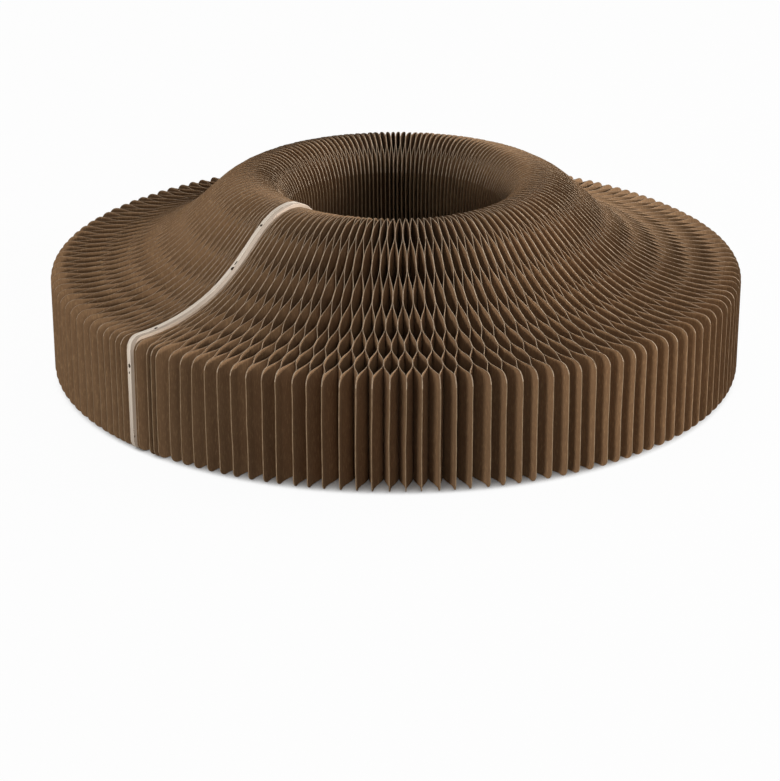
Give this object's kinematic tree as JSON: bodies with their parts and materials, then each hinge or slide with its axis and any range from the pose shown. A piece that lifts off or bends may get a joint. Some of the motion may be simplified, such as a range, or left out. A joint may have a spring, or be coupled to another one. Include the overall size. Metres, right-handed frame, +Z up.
{
  "type": "cat scratcher",
  "caption": "Ring of glued upright kraft paper sheets with a raised crest round a through hole; opens at a magnetic seam and folds flat.",
  "frame": {"origin": "middle of the ring, on the floor that it stands on", "axes": "+Z up; the seam of the two end boards points 45 degrees between -X and -Y, and the fixed back of the ring lies opposite it, between +X and +Y"},
  "size_m": [0.5997, 0.5997, 0.17],
  "materials": {
    "kraft_paper": "matt, uncoated",
    "end_board": "raw sawn plywood",
    "magnet": "nickel plated"
  },
  "bodies": {
    "back_leaf": {"front_section_01": "kraft_paper", "rear_section_01": "kraft_paper"},
    "front_seam_end": {"front_end_board": "end_board", "front_magnet_1": "magnet", "front_magnet_2": "magnet", "front_magnet_3": "magnet"},
    "front_leaf_02": {"front_section_02": "kraft_paper"},
    "front_leaf_03": {"front_section_03": "kraft_paper"},
    "front_leaf_04": {"front_section_04": "kraft_paper"},
    "front_leaf_05": {"front_section_05": "kraft_paper"},
    "front_leaf_06": {"front_section_06": "kraft_paper"},
    "front_leaf_07": {"front_section_07": "kraft_paper"},
    "front_leaf_08": {"front_section_08": "kraft_paper"},
    "front_leaf_09": {"front_section_09": "kraft_paper"},
    "front_leaf_10": {"front_section_10": "kraft_paper"},
    "front_leaf_11": {"front_section_11": "kraft_paper"},
    "front_leaf_12": {"front_section_12": "kraft_paper"},
    "front_leaf_13": {"front_section_13": "kraft_paper"},
    "front_leaf_14": {"front_section_14": "kraft_paper"},
    "front_leaf_15": {"front_section_15": "kraft_paper"},
    "rear_seam_end": {"rear_end_board": "end_board", "rear_magnet_1": "magnet", "rear_magnet_2": "magnet", "rear_magnet_3": "magnet"},
    "rear_leaf_02": {"rear_section_02": "kraft_paper"},
    "rear_leaf_03": {"rear_section_03": "kraft_paper"},
    "rear_leaf_04": {"rear_section_04": "kraft_paper"},
    "rear_leaf_05": {"rear_section_05": "kraft_paper"},
    "rear_leaf_06": {"rear_section_06": "kraft_paper"},
    "rear_leaf_07": {"rear_section_07": "kraft_paper"},
    "rear_leaf_08": {"rear_section_08": "kraft_paper"},
    "rear_leaf_09": {"rear_section_09": "kraft_paper"},
    "rear_leaf_10": {"rear_section_10": "kraft_paper"},
    "rear_leaf_11": {"rear_section_11": "kraft_paper"},
    "rear_leaf_12": {"rear_section_12": "kraft_paper"},
    "rear_leaf_13": {"rear_section_13": "kraft_paper"},
    "rear_leaf_14": {"rear_section_14": "kraft_paper"},
    "rear_leaf_15": {"rear_section_15": "kraft_paper"}
  },
  "joints": [
    {"name": "front_fold", "type": "hinge", "parent": "back_leaf", "child": "front_seam_end", "pos_m": [0.02279, -0.02279, 0], "axis": [0, 0, 1], "range_deg": [0, 180], "deforming": ["front_section_01"]},
    {"name": "front_fold_02", "type": "hinge", "parent": "back_leaf", "child": "front_leaf_02", "pos_m": [0.01594, 0.0129, 0], "axis": [0, 0, 1], "range_deg": [0, 12], "deforming": ["front_section_02"]},
    {"name": "front_fold_03", "type": "hinge", "parent": "back_leaf", "child": "front_leaf_03", "pos_m": [0.01729, 0.01123, 0], "axis": [0, 0, 1], "range_deg": [0, 24], "deforming": ["front_section_03"]},
    {"name": "front_fold_04", "type": "hinge", "parent": "back_leaf", "child": "front_leaf_04", "pos_m": [0.01854, 0.00945, 0], "axis": [0, 0, 1], "range_deg": [0, 36], "deforming": ["front_section_04"]},
    {"name": "front_fold_05", "type": "hinge", "parent": "back_leaf", "child": "front_leaf_05", "pos_m": [0.01968, 0.00755, 0], "axis": [0, 0, 1], "range_deg": [0, 48], "deforming": ["front_section_05"]},
    {"name": "front_fold_06", "type": "hinge", "parent": "back_leaf", "child": "front_leaf_06", "pos_m": [0.0207, 0.00555, 0], "axis": [0, 0, 1], "range_deg": [0, 60], "deforming": ["front_section_06"]},
    {"name": "front_fold_07", "type": "hinge", "parent": "back_leaf", "child": "front_leaf_07", "pos_m": [0.02161, 0.00342, 0], "axis": [0, 0, 1], "range_deg": [0, 72], "deforming": ["front_section_07"]},
    {"name": "front_fold_08", "type": "hinge", "parent": "back_leaf", "child": "front_leaf_08", "pos_m": [0.02239, 0.00117, 0], "axis": [0, 0, 1], "range_deg": [0, 84], "deforming": ["front_section_08"]},
    {"name": "front_fold_09", "type": "hinge", "parent": "back_leaf", "child": "front_leaf_09", "pos_m": [0.02304, -0.00121, 0], "axis": [0, 0, 1], "range_deg": [0, 96], "deforming": ["front_section_09"]},
    {"name": "front_fold_10", "type": "hinge", "parent": "back_leaf", "child": "front_leaf_10", "pos_m": [0.02355, -0.00373, 0], "axis": [0, 0, 1], "range_deg": [0, 108], "deforming": ["front_section_10"]},
    {"name": "front_fold_11", "type": "hinge", "parent": "back_leaf", "child": "front_leaf_11", "pos_m": [0.02391, -0.00641, 0], "axis": [0, 0, 1], "range_deg": [0, 120], "deforming": ["front_section_11"]},
    {"name": "front_fold_12", "type": "hinge", "parent": "back_leaf", "child": "front_leaf_12", "pos_m": [0.02409, -0.00925, 0], "axis": [0, 0, 1], "range_deg": [0, 132], "deforming": ["front_section_12"]},
    {"name": "front_fold_13", "type": "hinge", "parent": "back_leaf", "child": "front_leaf_13", "pos_m": [0.0241, -0.01228, 0], "axis": [0, 0, 1], "range_deg": [0, 144], "deforming": ["front_section_13"]},
    {"name": "front_fold_14", "type": "hinge", "parent": "back_leaf", "child": "front_leaf_14", "pos_m": [0.02389, -0.01551, 0], "axis": [0, 0, 1], "range_deg": [0, 156], "deforming": ["front_section_14"]},
    {"name": "front_fold_15", "type": "hinge", "parent": "back_leaf", "child": "front_leaf_15", "pos_m": [0.02345, -0.01899, 0], "axis": [0, 0, 1], "range_deg": [0, 168], "deforming": ["front_section_15"]},
    {"name": "rear_fold", "type": "hinge", "parent": "back_leaf", "child": "rear_seam_end", "pos_m": [-0.02279, 0.02279, 0], "axis": [0, 0, -1], "range_deg": [0, 180], "deforming": ["rear_section_01"]},
    {"name": "rear_fold_02", "type": "hinge", "parent": "back_leaf", "child": "rear_leaf_02", "pos_m": [0.0129, 0.01594, 0], "axis": [0, 0, -1], "range_deg": [0, 12], "deforming": ["rear_section_02"]},
    {"name": "rear_fold_03", "type": "hinge", "parent": "back_leaf", "child": "rear_leaf_03", "pos_m": [0.01123, 0.01729, 0], "axis": [0, 0, -1], "range_deg": [0, 24], "deforming": ["rear_section_03"]},
    {"name": "rear_fold_04", "type": "hinge", "parent": "back_leaf", "child": "rear_leaf_04", "pos_m": [0.00945, 0.01854, 0], "axis": [0, 0, -1], "range_deg": [0, 36], "deforming": ["rear_section_04"]},
    {"name": "rear_fold_05", "type": "hinge", "parent": "back_leaf", "child": "rear_leaf_05", "pos_m": [0.00755, 0.01968, 0], "axis": [0, 0, -1], "range_deg": [0, 48], "deforming": ["rear_section_05"]},
    {"name": "rear_fold_06", "type": "hinge", "parent": "back_leaf", "child": "rear_leaf_06", "pos_m": [0.00555, 0.0207, 0], "axis": [0, 0, -1], "range_deg": [0, 60], "deforming": ["rear_section_06"]},
    {"name": "rear_fold_07", "type": "hinge", "parent": "back_leaf", "child": "rear_leaf_07", "pos_m": [0.00342, 0.02161, 0], "axis": [0, 0, -1], "range_deg": [0, 72], "deforming": ["rear_section_07"]},
    {"name": "rear_fold_08", "type": "hinge", "parent": "back_leaf", "child": "rear_leaf_08", "pos_m": [0.00117, 0.02239, 0], "axis": [0, 0, -1], "range_deg": [0, 84], "deforming": ["rear_section_08"]},
    {"name": "rear_fold_09", "type": "hinge", "parent": "back_leaf", "child": "rear_leaf_09", "pos_m": [-0.00121, 0.02304, 0], "axis": [0, 0, -1], "range_deg": [0, 96], "deforming": ["rear_section_09"]},
    {"name": "rear_fold_10", "type": "hinge", "parent": "back_leaf", "child": "rear_leaf_10", "pos_m": [-0.00373, 0.02355, 0], "axis": [0, 0, -1], "range_deg": [0, 108], "deforming": ["rear_section_10"]},
    {"name": "rear_fold_11", "type": "hinge", "parent": "back_leaf", "child": "rear_leaf_11", "pos_m": [-0.00641, 0.02391, 0], "axis": [0, 0, -1], "range_deg": [0, 120], "deforming": ["rear_section_11"]},
    {"name": "rear_fold_12", "type": "hinge", "parent": "back_leaf", "child": "rear_leaf_12", "pos_m": [-0.00925, 0.02409, 0], "axis": [0, 0, -1], "range_deg": [0, 132], "deforming": ["rear_section_12"]},
    {"name": "rear_fold_13", "type": "hinge", "parent": "back_leaf", "child": "rear_leaf_13", "pos_m": [-0.01228, 0.0241, 0], "axis": [0, 0, -1], "range_deg": [0, 144], "deforming": ["rear_section_13"]},
    {"name": "rear_fold_14", "type": "hinge", "parent": "back_leaf", "child": "rear_leaf_14", "pos_m": [-0.01551, 0.02389, 0], "axis": [0, 0, -1], "range_deg": [0, 156], "deforming": ["rear_section_14"]},
    {"name": "rear_fold_15", "type": "hinge", "parent": "back_leaf", "child": "rear_leaf_15", "pos_m": [-0.01899, 0.02345, 0], "axis": [0, 0, -1], "range_deg": [0, 168], "deforming": ["rear_section_15"]}
  ],
  "couplings": [
    {"joint": "front_fold_02", "follows": "front_fold", "ratio": 0.066667},
    {"joint": "front_fold_03", "follows": "front_fold", "ratio": 0.13333},
    {"joint": "front_fold_04", "follows": "front_fold", "ratio": 0.2},
    {"joint": "front_fold_05", "follows": "front_fold", "ratio": 0.26667},
    {"joint": "front_fold_06", "follows": "front_fold", "ratio": 0.33333},
    {"joint": "front_fold_07", "follows": "front_fold", "ratio": 0.4},
    {"joint": "front_fold_08", "follows": "front_fold", "ratio": 0.46667},
    {"joint": "front_fold_09", "follows": "front_fold", "ratio": 0.53333},
    {"joint": "front_fold_10", "follows": "front_fold", "ratio": 0.6},
    {"joint": "front_fold_11", "follows": "front_fold", "ratio": 0.66667},
    {"joint": "front_fold_12", "follows": "front_fold", "ratio": 0.73333},
    {"joint": "front_fold_13", "follows": "front_fold", "ratio": 0.8},
    {"joint": "front_fold_14", "follows": "front_fold", "ratio": 0.86667},
    {"joint": "front_fold_15", "follows": "front_fold", "ratio": 0.93333},
    {"joint": "rear_fold_02", "follows": "rear_fold", "ratio": 0.066667},
    {"joint": "rear_fold_03", "follows": "rear_fold", "ratio": 0.13333},
    {"joint": "rear_fold_04", "follows": "rear_fold", "ratio": 0.2},
    {"joint": "rear_fold_05", "follows": "rear_fold", "ratio": 0.26667},
    {"joint": "rear_fold_06", "follows": "rear_fold", "ratio": 0.33333},
    {"joint": "rear_fold_07", "follows": "rear_fold", "ratio": 0.4},
    {"joint": "rear_fold_08", "follows": "rear_fold", "ratio": 0.46667},
    {"joint": "rear_fold_09", "follows": "rear_fold", "ratio": 0.53333},
    {"joint": "rear_fold_10", "follows": "rear_fold", "ratio": 0.6},
    {"joint": "rear_fold_11", "follows": "rear_fold", "ratio": 0.66667},
    {"joint": "rear_fold_12", "follows": "rear_fold", "ratio": 0.73333},
    {"joint": "rear_fold_13", "follows": "rear_fold", "ratio": 0.8},
    {"joint": "rear_fold_14", "follows": "rear_fold", "ratio": 0.86667},
    {"joint": "rear_fold_15", "follows": "rear_fold", "ratio": 0.93333}
  ]
}
